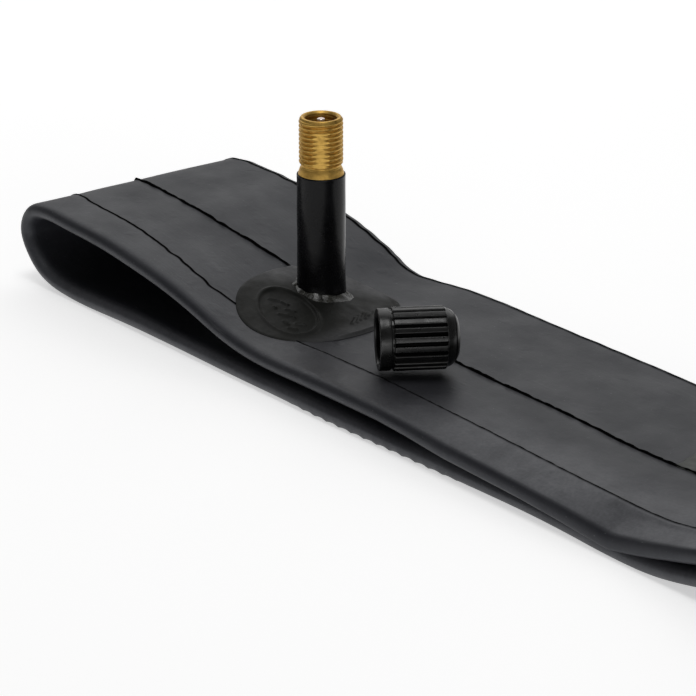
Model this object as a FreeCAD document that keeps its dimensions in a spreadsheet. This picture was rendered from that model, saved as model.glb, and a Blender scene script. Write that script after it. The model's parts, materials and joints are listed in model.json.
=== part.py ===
import FreeCAD, Part
import math
import os
import re
import Sketcher
from FreeCAD import Placement, Rotation, Vector

# A bicycle inner tube laid flat and double, with a rubber-covered car-type valve and its loose dust cap.
# The frame: +X along the belt, +Y across it, +Z up, origin on the floor under the belt's middle.
# Every valve piece is drawn in its own frame, with the stem's foot on the base patch as its origin.

DIMENSIONS = {
    # the flattened tube: one layer is two walls with a little air between them
    "belt_half": 161.0,
    "belt_width": 49.0,
    "layer": 3.3,
    "wall": 1.2,
    # the route of the layers, as corners of their middle line and the radius of each bend
    "upper_z": 5.45,
    "left_fold_z": 14.25,
    "fold_radius": 6.0,
    "shoulder_x": -128.5,
    "shoulder_z": 13.4,
    "shoulder_radius": 25.0,
    "landing_x": -104.0,
    "landing_radius": 20.0,
    "wave_start": 5.0,
    "wave_top": 29.0,
    "wave_end": 57.0,
    "wave_upper_z": 9.6,
    "wave_lower_z": 5.2,
    "wave_radius": 40.0,
    "rise_x": 102.5,
    "rise_radius": 30.0,
    "ridge_x": 132.5,
    "ridge_z": 15.0,
    "ridge_radius": 25.0,
    "right_fold_z": 15.6,
    # the strip over the tube's own joint
    "splice_left": -13.0,
    "splice_length": 14.5,
    "splice_near": -3.0,
    "splice_width": 24.0,
    "splice_slant": 2.5,
    "splice_thick": 0.35,
    # the rubber base of the valve
    "valve_x": -102.5,
    "valve_turn": 50.0,
    "rim_hole_radius": 2.5,
    "patch_radius": 16.0,
    "patch_shift_x": 4.0,
    "patch_shift_y": -5.5,
    "patch_thick": 1.4,
    "bead_radius": 5.8,
    "bead_thick": 0.7,
    # the rubber cover of the stem
    "sleeve_radius": 4.25,
    "foot_radius": 4.45,
    "foot_top": 1.9,
    "foot_taper": 1.0,
    "sleeve_top": 21.5,
    "sleeve_round": 0.5,
    "sleeve_bottom": -3.0,
    # the brass stem
    "insert_bottom": 1.0,
    "insert_radius": 3.3,
    "insert_bore": 2.0,
    "shoulder_radius_top": 3.5,
    "shoulder_radius_foot": 4.02,
    "shoulder_top": 22.7,
    "neck_top": 23.2,
    "thread_radius": 3.87,
    "thread_start": 23.6,
    "thread_end": 31.45,
    "stem_top": 31.85,
    "lip_radius": 3.47,
    "mouth_radius": 2.75,
    "mouth_chamfer": 0.35,
    "seat_top": 23.4,
    "seat_bottom": 21.2,
    "thread_pitch": 0.794,
    "thread_cut": 0.46,
    "thread_depth": 0.4,
    "thread_grooves": 9.0,
    "flat_start": 23.2,
    "flat_end": 29.74,
    "flat_depth": 0.35,
    # the valve core
    "core_gap": 0.05,
    "plug_bottom": 25.4,
    "plug_top": 29.3,
    "plug_bore": 1.3,
    "bridge_thick": 1.5,
    "bridge_width": 2.0,
    "pin_hole": 0.6,
    "gasket_bottom": 21.6,
    "gasket_top": 24.2,
    "gasket_foot": 2.1,
    "barrel_bottom": 17.4,
    "barrel_radius": 1.7,
    "barrel_neck": 1.45,
    "barrel_bore": 1.2,
    "barrel_lip": 0.5,
    "barrel_lip_hole": 0.7,
    "spring_radius": 0.95,
    "spring_wire": 0.13,
    "spring_turns": 6.0,
    "pin_radius": 0.45,
    "pin_top": 31.5,
    "pin_head_radius": 0.75,
    "pin_head": 0.8,
    "pin_head_round": 0.3,
    "collar_radius": 1.0,
    "collar_bottom": 22.9,
    "collar_thick": 0.4,
    "rivet_radius": 0.8,
    "rivet_thick": 0.5,
    "cup_radius": 1.6,
    "cup_bottom": 15.5,
    "cup_floor": 0.6,
    "cup_wall": 0.2,
    "cup_height": 1.4,
    # the dust cap, drawn with its mouth at z = 0 and laid on its side
    "cap_length": 13.6,
    "cap_radius": 5.3,
    "cap_bore": 3.97,
    "cap_bore_depth": 9.5,
    "cap_chamfer": 0.4,
    "collar_height": 2.0,
    "cap_collar_radius": 5.2,
    "collar_gap": 0.35,
    "rib_end": 11.2,
    "rib_depth": 0.35,
    "rib_count": 20.0,
    "nose_radius": 4.1,
    "nose_foot": 11.6,
    "nose_round": 1.9,
    "cap_x": -70.2,
    "cap_y": -14.7,
    "cap_direction": 56.0,
    "cap_clearance": 0.05,
}

FOOT_Z = "upper_z + layer / 2 + patch_thick"
SLOPE = "(shoulder_z - upper_z) / (landing_x - shoulder_x)"
TRIM_HEIGHT = 60.0


def bind(text):
    """A sheet expression from one that names the cells alone."""
    return re.sub(r"(?<![\w.])(?!(?:atan|tan)\b)[a-z_]+", r"dims.\g<0>", text)


class Sheet:
    """The driving dimensions, and expressions worked out from them."""

    def __init__(self, document):
        self.table = document.addObject("Spreadsheet::Sheet", "dims")
        for row, (name, value) in enumerate(DIMENSIONS.items(), start=1):
            self.table.set(f"A{row}", name)
            self.table.set(f"B{row}", str(value))
            self.table.setAlias(f"B{row}", name)
        document.recompute()

    def value(self, text):
        number = self.table.evalExpression(bind(text))
        return float(getattr(number, "Value", number))


def plane_of(body, role):
    """One of a body's own origin planes."""
    return next(item for item in body.Origin.OriginFeatures if item.Role == role)


def new_sketch(body, name, role, lift="0"):
    """A sketch on an origin plane of its body, lifted along the plane's normal."""
    sketch = body.newObject("Sketcher::SketchObject", name)
    sketch.AttachmentSupport = [(plane_of(body, role), "")]
    sketch.MapMode = "FlatFace"
    if lift != "0":
        sketch.setExpression("AttachmentOffset.Base.z", bind(lift))
    return sketch


def place_point(sketch, geometry, position, x_text, y_text):
    """Hold one point of the sketch at two sheet expressions."""
    for kind, axis, text in (("DistanceX", -2, x_text), ("DistanceY", -1, y_text)):
        if text == "0":
            sketch.addConstraint(Sketcher.Constraint("PointOnObject", geometry, position, axis))
            continue
        rule = sketch.addConstraint(
            Sketcher.Constraint(kind, -1, 1, geometry, position, dims.value(text))
        )
        sketch.setExpression(f"Constraints[{rule}]", bind(text))


def hold_radius(sketch, geometry, text):
    rule = sketch.addConstraint(Sketcher.Constraint("Radius", geometry, dims.value(text)))
    sketch.setExpression(f"Constraints[{rule}]", bind(text))


def bend_points(before, corner, after, radius):
    """Where a bend starts and ends, its middle, and whether it turns left."""
    incoming = (corner - before).normalize()
    outgoing = (after - corner).normalize()
    turn = math.atan2(incoming.cross(outgoing).z, incoming.dot(outgoing))
    reach = radius * math.tan(abs(turn) / 2)
    start = corner - incoming * reach
    end = corner + outgoing * reach
    side = math.copysign(radius, turn)
    centre = start + Vector(-incoming.y, incoming.x, 0) * side
    return start, end, centre, turn > 0


def closed_outline(sketch, corners):
    """A closed outline through corners (x, y, radius), each a sheet expression; radius 0 is a sharp corner."""
    points = [Vector(dims.value(x), dims.value(y), 0) for x, y, _ in corners]
    bends = []
    for i, (_, _, radius_text) in enumerate(corners):
        before, after = points[i - 1], points[(i + 1) % len(points)]
        radius = dims.value(radius_text)
        bends.append(bend_points(before, points[i], after, radius) if radius else None)
    lines = []
    for i, bend in enumerate(bends):
        following = bends[(i + 1) % len(bends)]
        start = bend[1] if bend else points[i]
        end = following[0] if following else points[(i + 1) % len(points)]
        lines.append(sketch.addGeometry(Part.LineSegment(start, end)))
    for i, (bend, (x_text, y_text, radius_text)) in enumerate(zip(bends, corners)):
        arriving, leaving = lines[i - 1], lines[i]
        if not bend:
            sketch.addConstraint(Sketcher.Constraint("Coincident", arriving, 2, leaving, 1))
            place_point(sketch, leaving, 1, x_text, y_text)
            continue
        start, end, centre, left = bend
        first, last = (start, end) if left else (end, start)
        angles = [math.atan2(p.y - centre.y, p.x - centre.x) for p in (first, last)]
        circle = Part.Circle(centre, Vector(0, 0, 1), (start - centre).Length)
        arc = sketch.addGeometry(Part.ArcOfCircle(circle, *angles))
        near, far = (1, 2) if left else (2, 1)
        sketch.addConstraint(Sketcher.Constraint("Tangent", arriving, 2, arc, near))
        sketch.addConstraint(Sketcher.Constraint("Tangent", leaving, 1, arc, far))
        mark = sketch.addGeometry(Part.Point(points[i]), True)
        sketch.addConstraint(Sketcher.Constraint("PointOnObject", mark, 1, arriving))
        sketch.addConstraint(Sketcher.Constraint("PointOnObject", mark, 1, leaving))
        place_point(sketch, mark, 1, x_text, y_text)
        hold_radius(sketch, arc, radius_text)
    if sketch.solve():
        raise SystemExit(f"sketch {sketch.Name} can't be solved")


def flat_tube_section(sketch, width_text, height_text, centre_text):
    """The section of a flattened tube: two flat sides joined by half circles."""
    half_flat = dims.value(f"({width_text} - {height_text}) / 2")
    radius = dims.value(f"({height_text}) / 2")
    middle = dims.value(centre_text)
    top, bottom = middle + radius, middle - radius
    upper = sketch.addGeometry(Part.LineSegment(Vector(half_flat, top, 0), Vector(-half_flat, top, 0)))
    lower = sketch.addGeometry(
        Part.LineSegment(Vector(-half_flat, bottom, 0), Vector(half_flat, bottom, 0))
    )
    quarter = math.pi / 2
    ends = []
    for side, first in ((-1, quarter), (1, -quarter)):
        circle = Part.Circle(Vector(side * half_flat, middle, 0), Vector(0, 0, 1), radius)
        ends.append(sketch.addGeometry(Part.ArcOfCircle(circle, first, first + math.pi)))
    left, right = ends
    for line, position, arc, end in (
        (upper, 2, left, 1), (lower, 1, left, 2), (lower, 2, right, 1), (upper, 1, right, 2),
    ):
        sketch.addConstraint(Sketcher.Constraint("Tangent", line, position, arc, end))
    for line in (upper, lower):
        sketch.addConstraint(Sketcher.Constraint("Horizontal", line))
    place_point(sketch, left, 3, f"-({width_text} - ({height_text})) / 2", centre_text)
    rule = sketch.addConstraint(Sketcher.Constraint("DistanceX", -1, 1, right, 3, half_flat))
    sketch.setExpression(f"Constraints[{rule}]", bind(f"({width_text} - ({height_text})) / 2"))
    hold_radius(sketch, left, f"({height_text}) / 2")


def new_body(name):
    return document.addObject("PartDesign::Body", name)


def revolved_body(name, corners):
    """A body turned about its own Z axis from one outline of (radius, height, bend) corners."""
    body = new_body(name)
    sketch = new_sketch(body, f"{name}_outline", "XZ_Plane")
    closed_outline(sketch, corners)
    turned = body.newObject("PartDesign::Revolution", f"{name}_turned")
    turned.Profile = (sketch, [""])
    turned.ReferenceAxis = (sketch, ["V_Axis"])
    turned.Angle = 360
    document.recompute()
    return body


def sharp(*pairs):
    """Corners with no bend."""
    return [(x, y, "0") for x, y in pairs]


def add_feature(body, kind, name, sketch, **settings):
    """A PartDesign feature of a sketch, with its settings made in the order given."""
    feature = body.newObject(f"PartDesign::{kind}", name)
    feature.Profile = (sketch, [""])
    for key, setting in settings.items():
        if isinstance(setting, str) and key in ("Length", "Height", "Pitch"):
            feature.setExpression(key, bind(setting))
        else:
            setattr(feature, key, setting)
    document.recompute()
    return feature


def cut_check(body, before):
    """A cut that faces away from its solid removes nothing, so the volume is compared."""
    if body.Shape.Volume >= before - 1e-3:
        raise SystemExit(f"a cut in {body.Name} removed nothing")


def cut_thread(body, name, wall_radius, first_height, inward):
    """Thread turns as a pattern of V grooves in a round wall; inward is the groove's direction, -1 or +1."""
    before = body.Shape.Volume
    sketch = new_sketch(body, f"{name}_profile", "XZ_Plane")
    sign = "-" if inward < 0 else "+"
    back = "+" if inward < 0 else "-"
    closed_outline(sketch, sharp(
        (f"{wall_radius} {back} core_gap", first_height),
        (wall_radius, first_height),
        (f"{wall_radius} {sign} thread_depth", f"{first_height} + thread_cut / 2"),
        (wall_radius, f"{first_height} + thread_cut"),
        (f"{wall_radius} {back} core_gap", f"{first_height} + thread_cut"),
    ))
    groove = add_feature(
        body, "Groove", f"{name}_groove", sketch, ReferenceAxis=(sketch, ["V_Axis"]), Angle=360
    )
    pattern = body.newObject("PartDesign::LinearPattern", f"{name}_turns")
    pattern.Originals = [groove]
    pattern.Direction = (sketch, ["V_Axis"])
    pattern.setExpression("Length", bind("thread_pitch * (thread_grooves - 1)"))
    pattern.setExpression("Occurrences", bind("thread_grooves"))
    body.Tip = pattern
    document.recompute()
    cut_check(body, before)


def bend_offset(offset):
    """The landing bend's corner and radius, seen from a line the offset above the layer's middle."""
    corner = f"(landing_x + ({offset}) * tan(atan({SLOPE}) / 2))"
    return corner, f"upper_z + {offset}", f"landing_radius - ({offset})"


def slope_height(offset, x_text):
    """The height of the sloping stretch left of the landing bend, at x."""
    corner, level, _ = bend_offset(offset)
    return f"{level} + ({corner} - ({x_text})) * {SLOPE}"


def band_over_layer(name, low, high, reach):
    """A slab that follows the upper layer's slope and landing, between two offsets from its middle line."""
    body = new_body(name)
    sketch = new_sketch(body, f"{name}_outline", "XZ_Plane")
    left, right = f"valve_x - ({reach})", f"valve_x + {reach}"
    closed_outline(sketch, [
        (left, slope_height(low, left), "0"),
        bend_offset(low),
        (right, f"upper_z + {low}", "0"),
        (right, f"upper_z + {high}", "0"),
        bend_offset(high),
        (left, slope_height(high, left), "0"),
    ])
    add_feature(
        body, "Pad", f"{name}_slab", sketch, SideType="Symmetric", Length=f"2 * ({reach})"
    )
    return body


def valve_cylinder(name, radius, bottom="0", height=None):
    """A plain cylinder on the valve's axis, in the part's frame."""
    cylinder = document.addObject("Part::Cylinder", name)
    cylinder.setExpression("Radius", bind(radius))
    cylinder.setExpression("Placement.Base.x", bind("valve_x"))
    cylinder.setExpression("Placement.Base.z", bind(bottom))
    if height:
        cylinder.setExpression("Height", bind(height))
    else:
        cylinder.Height = TRIM_HEIGHT
    return cylinder


def combine(kind, name, base, tool):
    """A boolean of two objects: kind is Cut or Common."""
    result = document.addObject(f"Part::{kind}", name)
    result.Base = base
    result.Tool = tool
    document.recompute()
    return result


def stand_on_valve(body):
    """Move a piece drawn about the stem's foot to where the valve stands."""
    turn = Rotation(Vector(0, 0, 1), dims.value("valve_turn"))
    body.Placement = Placement(Vector(0, 0, 0), turn)
    body.setExpression("Placement.Base.x", bind("valve_x"))
    body.setExpression("Placement.Base.z", bind(FOOT_Z))
    return body


def make_tube():
    """The tube: a flattened section swept along the doubled belt, hollowed, with the valve's hole."""
    body = new_body("tube_body")
    left, right = "-belt_half + layer / 2", "belt_half - layer / 2"
    path = new_sketch(body, "belt_path", "XZ_Plane")
    closed_outline(path, [
        ("0", "layer / 2", "0"),
        (left, "layer / 2", "fold_radius"),
        (left, "left_fold_z", "fold_radius"),
        ("shoulder_x", "shoulder_z", "shoulder_radius"),
        ("landing_x", "upper_z", "landing_radius"),
        ("wave_start", "upper_z", "wave_radius"),
        ("wave_top", "wave_upper_z", "wave_radius"),
        ("wave_end", "upper_z", "wave_radius"),
        ("rise_x", "upper_z", "rise_radius"),
        ("ridge_x", "ridge_z", "ridge_radius"),
        (right, "right_fold_z", "fold_radius"),
        (right, "layer / 2", "fold_radius"),
        ("wave_end", "layer / 2", "wave_radius"),
        ("wave_top", "wave_lower_z", "wave_radius"),
        ("wave_start", "layer / 2", "wave_radius"),
    ])
    volumes = []
    for kind, name, inset in (("AdditivePipe", "outer", "0"), ("SubtractivePipe", "inner", "2 * wall")):
        section = new_sketch(body, f"{name}_section", "YZ_Plane")
        flat_tube_section(section, f"(belt_width - {inset})", f"(layer - {inset})", "layer / 2")
        document.recompute()
        add_feature(body, kind, f"{name}_sweep", section, Spine=(path, [""]))
        volumes.append(body.Shape.Volume)
    if volumes[1] >= volumes[0]:
        raise SystemExit("the tube isn't hollow")
    drill = valve_cylinder("rim_hole_drill", "rim_hole_radius", "upper_z", "layer * 2")
    return combine("Cut", "tube_wall", body, drill)


def make_splice():
    body = new_body("splice_patch")
    sketch = new_sketch(body, "splice_outline", "XY_Plane")
    far = "splice_near + splice_width"
    closed_outline(sketch, sharp(
        ("splice_left", "splice_near"),
        ("splice_left + splice_length", "splice_near"),
        ("splice_left + splice_length - splice_slant", far),
        ("splice_left - splice_slant", far),
    ))
    add_feature(body, "Pad", "splice_strip", sketch, Length="splice_thick")
    body.setExpression("Placement.Base.z", bind("upper_z + layer / 2"))
    return body


def make_valve_patch():
    """The round base patch, whose middle lies a little beside the stem."""
    top = "(layer / 2 + patch_thick)"
    band = band_over_layer("patch_band", "layer / 2", top, "patch_radius * 1.5")
    disc = valve_cylinder("patch_disc", "patch_radius")
    disc.setExpression("Placement.Base.x", bind("valve_x + patch_shift_x"))
    disc.setExpression("Placement.Base.y", bind("patch_shift_y"))
    trimmed = combine("Common", "patch_trimmed", band, disc)
    return combine("Cut", "valve_patch", trimmed, valve_cylinder("patch_hole", "foot_radius"))


def make_cement_bead():
    low = "(layer / 2 + patch_thick)"
    band = band_over_layer("bead_band", low, f"({low} + bead_thick)", "bead_radius * 1.2")
    disc = valve_cylinder("bead_disc", "bead_radius")
    trimmed = combine("Common", "bead_trimmed", band, disc)
    return combine("Cut", "cement_bead", trimmed, valve_cylinder("bead_hole", "foot_radius"))


def make_sleeve():
    """The stem's rubber cover, its lower end cut to the slope of the tube under it."""
    body = revolved_body("sleeve_body", [
        ("rim_hole_radius", "sleeve_bottom", "0"),
        ("foot_radius", "sleeve_bottom", "0"),
        ("foot_radius", "foot_top - foot_taper", "0"),
        ("sleeve_radius", "foot_top", "0"),
        ("sleeve_radius", "sleeve_top", "sleeve_round"),
        ("insert_radius", "sleeve_top", "0"),
        ("insert_radius", "insert_bottom", "0"),
        ("rim_hole_radius", "insert_bottom", "0"),
    ])
    under = band_over_layer("sleeve_under", "(-upper_z)", "layer / 2", "patch_radius")
    return combine("Cut", "stem_sleeve", stand_on_valve(body), under)


def make_insert():
    body = revolved_body("stem_insert", sharp(
        ("insert_bore", "insert_bottom"),
        ("insert_radius", "insert_bottom"),
        ("insert_radius", "sleeve_top"),
        ("shoulder_radius_foot", "sleeve_top"),
        ("shoulder_radius_top", "shoulder_top"),
        ("shoulder_radius_top", "neck_top"),
        ("thread_radius", "thread_start"),
        ("thread_radius", "thread_end"),
        ("lip_radius", "stem_top"),
        ("mouth_radius + mouth_chamfer", "stem_top"),
        ("mouth_radius", "stem_top - mouth_chamfer"),
        ("mouth_radius", "seat_top"),
        ("insert_bore", "seat_bottom"),
    ))
    cut_thread(body, "cap_thread", "thread_radius", "thread_start + mouth_chamfer", -1)
    before = body.Shape.Volume
    flats = new_sketch(body, "flats_outline", "XY_Plane", "flat_start")
    for side in ("", "-"):
        depth = f"{side}(thread_radius - flat_depth)"
        reach = f"{side}(thread_radius + flat_depth)"
        closed_outline(flats, sharp(
            ("-thread_radius", depth), ("thread_radius", depth),
            ("thread_radius", reach), ("-thread_radius", reach),
        ))
    add_feature(body, "Pocket", "wrench_flats", flats, Reversed=True, Length="flat_end - flat_start")
    cut_check(body, before)
    return stand_on_valve(body)


def make_plug():
    """The core's head: a bored cylinder whose top is only a bridge with the pin's hole."""
    body = revolved_body("core_plug", sharp(
        ("plug_bore", "plug_bottom"),
        ("mouth_radius - core_gap", "plug_bottom"),
        ("mouth_radius - core_gap", "plug_top"),
        ("pin_hole", "plug_top"),
        ("pin_hole", "plug_top - bridge_thick"),
        ("plug_bore", "plug_top - bridge_thick"),
    ))
    before = body.Shape.Volume
    sides = new_sketch(body, "bridge_sides", "XY_Plane", "plug_top")
    for side in ("", "-"):
        closed_outline(sides, sharp(
            ("-mouth_radius", f"{side}bridge_width / 2"), ("mouth_radius", f"{side}bridge_width / 2"),
            ("mouth_radius", f"{side}mouth_radius"), ("-mouth_radius", f"{side}mouth_radius"),
        ))
    add_feature(body, "Pocket", "bridge_cut", sides, Length="bridge_thick")
    cut_check(body, before)
    return stand_on_valve(body)


def make_gasket():
    return stand_on_valve(revolved_body("core_gasket", sharp(
        ("barrel_neck + core_gap", "gasket_bottom"),
        ("gasket_foot", "gasket_bottom"),
        ("mouth_radius - core_gap", "seat_top"),
        ("mouth_radius - core_gap", "gasket_top - core_gap"),
        ("barrel_neck + core_gap", "gasket_top - core_gap"),
    )))


def make_barrel():
    return stand_on_valve(revolved_body("core_barrel", sharp(
        ("barrel_lip_hole", "barrel_bottom"),
        ("barrel_radius", "barrel_bottom"),
        ("barrel_radius", "gasket_bottom - core_gap"),
        ("barrel_neck", "gasket_bottom - core_gap"),
        ("barrel_neck", "gasket_top"),
        ("barrel_radius", "gasket_top"),
        ("barrel_radius", "plug_bottom"),
        ("barrel_bore", "plug_bottom"),
        ("barrel_bore", "barrel_bottom + barrel_lip"),
        ("barrel_lip_hole", "barrel_bottom + barrel_lip"),
    )))


def make_spring():
    """A wire swept up a helix, from the barrel's lip to the pin's collar."""
    body = new_body("core_spring")
    low = "barrel_bottom + barrel_lip + spring_wire"
    sketch = new_sketch(body, "wire_section", "XZ_Plane")
    centre = Vector(dims.value("spring_radius"), dims.value(low), 0)
    circle = Part.Circle(centre, Vector(0, 0, 1), dims.value("spring_wire"))
    wire = sketch.addGeometry(circle)
    place_point(sketch, wire, 3, "spring_radius", low)
    hold_radius(sketch, wire, "spring_wire")
    height = f"(collar_bottom - spring_wire - ({low}))"
    add_feature(
        body, "AdditiveHelix", "spring_coil", sketch, ReferenceAxis=(sketch, ["V_Axis"]),
        Mode="pitch-height-angle", Pitch=f"{height} / spring_turns", Height=height,
    )
    return stand_on_valve(body)


def make_pin():
    shank = sharp(
        ("0", "cup_bottom - rivet_thick"),
        ("rivet_radius", "cup_bottom - rivet_thick"),
        ("rivet_radius", "cup_bottom"),
        ("pin_radius", "cup_bottom"),
        ("pin_radius", "collar_bottom"),
        ("collar_radius", "collar_bottom"),
        ("collar_radius", "collar_bottom + collar_thick"),
        ("pin_radius", "collar_bottom + collar_thick"),
        ("pin_radius", "pin_top - pin_head"),
        ("pin_head_radius", "pin_top - pin_head"),
    )
    tip = [("pin_head_radius", "pin_top", "pin_head_round"), ("0", "pin_top", "0")]
    return stand_on_valve(revolved_body("core_pin", shank + tip))


def make_cup():
    return stand_on_valve(revolved_body("core_cup", sharp(
        ("pin_radius", "cup_bottom"),
        ("cup_radius", "cup_bottom"),
        ("cup_radius", "cup_bottom + cup_height"),
        ("cup_radius - cup_wall", "cup_bottom + cup_height"),
        ("cup_radius - cup_wall", "cup_bottom + cup_floor"),
        ("pin_radius", "cup_bottom + cup_floor"),
    )))


def make_seal():
    return stand_on_valve(revolved_body("core_seal", sharp(
        ("pin_radius", "cup_bottom + cup_floor"),
        ("cup_radius - cup_wall", "cup_bottom + cup_floor"),
        ("cup_radius - cup_wall", "barrel_bottom - core_gap"),
        ("pin_radius", "barrel_bottom - core_gap"),
    )))


def make_cap():
    body = revolved_body("valve_cap", [
        ("cap_bore + cap_chamfer", "0", "0"),
        ("cap_collar_radius", "0", "collar_gap"),
        ("cap_collar_radius", "collar_height", "0"),
        ("cap_radius - rib_depth", "collar_height", "0"),
        ("cap_radius - rib_depth", "collar_height + collar_gap", "0"),
        ("cap_radius", "collar_height + collar_gap", "0"),
        ("cap_radius", "rib_end", "0"),
        ("nose_radius", "nose_foot", "0"),
        ("nose_radius", "cap_length", "nose_round"),
        ("0", "cap_length", "0"),
        ("0", "cap_bore_depth", "0"),
        ("cap_bore", "cap_bore_depth", "0"),
        ("cap_bore", "cap_chamfer", "0"),
    ])
    cut_thread(body, "inner_thread", "cap_bore", "cap_chamfer + collar_gap", 1)
    before = body.Shape.Volume
    notch = new_sketch(body, "notch_outline", "XY_Plane", "collar_height + collar_gap")
    closed_outline(notch, sharp(
        ("cap_radius - rib_depth", "0"),
        ("cap_radius + rib_depth", "-2 * rib_depth"),
        ("cap_radius + rib_depth", "2 * rib_depth"),
    ))
    pocket = add_feature(
        body, "Pocket", "rib_notch", notch, Reversed=True, Length="rib_end - collar_height"
    )
    ribs = body.newObject("PartDesign::PolarPattern", "ribs")
    ribs.Originals = [pocket]
    ribs.Axis = (notch, ["N_Axis"])
    ribs.Angle = 360
    ribs.setExpression("Occurrences", bind("rib_count"))
    body.Tip = ribs
    document.recompute()
    cut_check(body, before)
    direction = math.radians(dims.value("cap_direction"))
    across = Vector(-math.sin(direction), math.cos(direction), 0)
    body.Placement = Placement(Vector(0, 0, 0), Rotation(across, 90))
    body.setExpression("Placement.Base.x", bind("cap_x"))
    body.setExpression("Placement.Base.y", bind("cap_y"))
    body.setExpression("Placement.Base.z", bind("upper_z + layer / 2 + cap_radius + cap_clearance"))
    return body


def check_document(nodes):
    """Stop before anything is written if an object failed or a piece isn't one valid solid."""
    for item in document.Objects:
        if "Invalid" in item.State or "Error" in item.State:
            raise SystemExit(f"{item.Name} failed to compute")
    for node in nodes:
        shape = node.Shape
        if shape.isNull() or not shape.isValid() or len(shape.Solids) != 1:
            raise SystemExit(f"{node.Label} isn't one valid solid")


document = FreeCAD.newDocument("inner_tube")
dims = Sheet(document)
pieces = [make() for make in (
    make_tube, make_splice, make_valve_patch, make_cement_bead, make_sleeve, make_insert, make_plug,
    make_gasket, make_barrel, make_spring, make_pin, make_cup, make_seal, make_cap,
)]
document.recompute()
check_document(pieces)
os.makedirs("parts", exist_ok=True)
for piece in pieces:
    piece.Shape.exportStep(f"parts/{piece.Label}.step")
    print(f"{piece.Label}: {piece.Shape.Volume:.2f} mm3")
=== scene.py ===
"""The looks of a flattened, doubled inner tube with its rubber-covered valve and loose dust cap.

Shapes are worked out in millimetres in the part's frame and turned into metres when a mesh is made.
"""

import json
import math

import bmesh
import bpy
import numpy as np
from mathutils import Matrix, Vector, noise
from mathutils.bvhtree import BVHTree


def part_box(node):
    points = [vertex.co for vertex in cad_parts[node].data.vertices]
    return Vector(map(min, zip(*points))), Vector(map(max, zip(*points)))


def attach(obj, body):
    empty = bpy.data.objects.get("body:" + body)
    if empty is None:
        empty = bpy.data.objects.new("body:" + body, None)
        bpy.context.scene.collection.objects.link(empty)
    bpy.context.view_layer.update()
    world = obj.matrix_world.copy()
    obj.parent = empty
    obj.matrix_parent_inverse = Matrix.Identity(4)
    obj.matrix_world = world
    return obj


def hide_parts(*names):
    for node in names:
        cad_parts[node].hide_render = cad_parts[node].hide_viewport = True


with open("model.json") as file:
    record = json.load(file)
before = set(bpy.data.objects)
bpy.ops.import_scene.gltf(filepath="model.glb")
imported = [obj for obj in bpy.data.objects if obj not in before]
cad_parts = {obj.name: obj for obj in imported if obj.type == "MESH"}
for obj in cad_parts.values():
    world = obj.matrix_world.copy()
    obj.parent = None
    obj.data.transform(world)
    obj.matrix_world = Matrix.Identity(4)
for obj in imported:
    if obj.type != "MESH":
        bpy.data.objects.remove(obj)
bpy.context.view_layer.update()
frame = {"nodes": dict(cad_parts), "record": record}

MM = 0.001
MOUNTS = {mount["name"]: mount for mount in frame["record"]["mounts"]}

# The brass stem's lower end, as a height above the stem's foot in mm, and how far its flats are turned.
INSERT_START = 1.0
STEM_TURN = math.radians(50)

# Places that come from the frame, in mm. The stem's heights count from its foot.
VALVE_X = MOUNTS["valve_thread"]["pos_m"][0] / MM
FOOT_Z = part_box("stem_insert")[0].z / MM - INSERT_START
STEM_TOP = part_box("stem_insert")[1].z / MM - FOOT_Z
SLEEVE_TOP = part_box("stem_sleeve")[1].z / MM - FOOT_Z

# The camera looks at a point beside the valve's foot.
CAMERA_AIM = (-96.49, 1.07, -1.25)
CAMERA_DISTANCE = 500.0
CAMERA_AZIMUTH = math.radians(50)
CAMERA_ELEVATION = math.radians(22)
CAMERA_LENS = 146.2
CAMERA_SENSOR = 36.0

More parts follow.
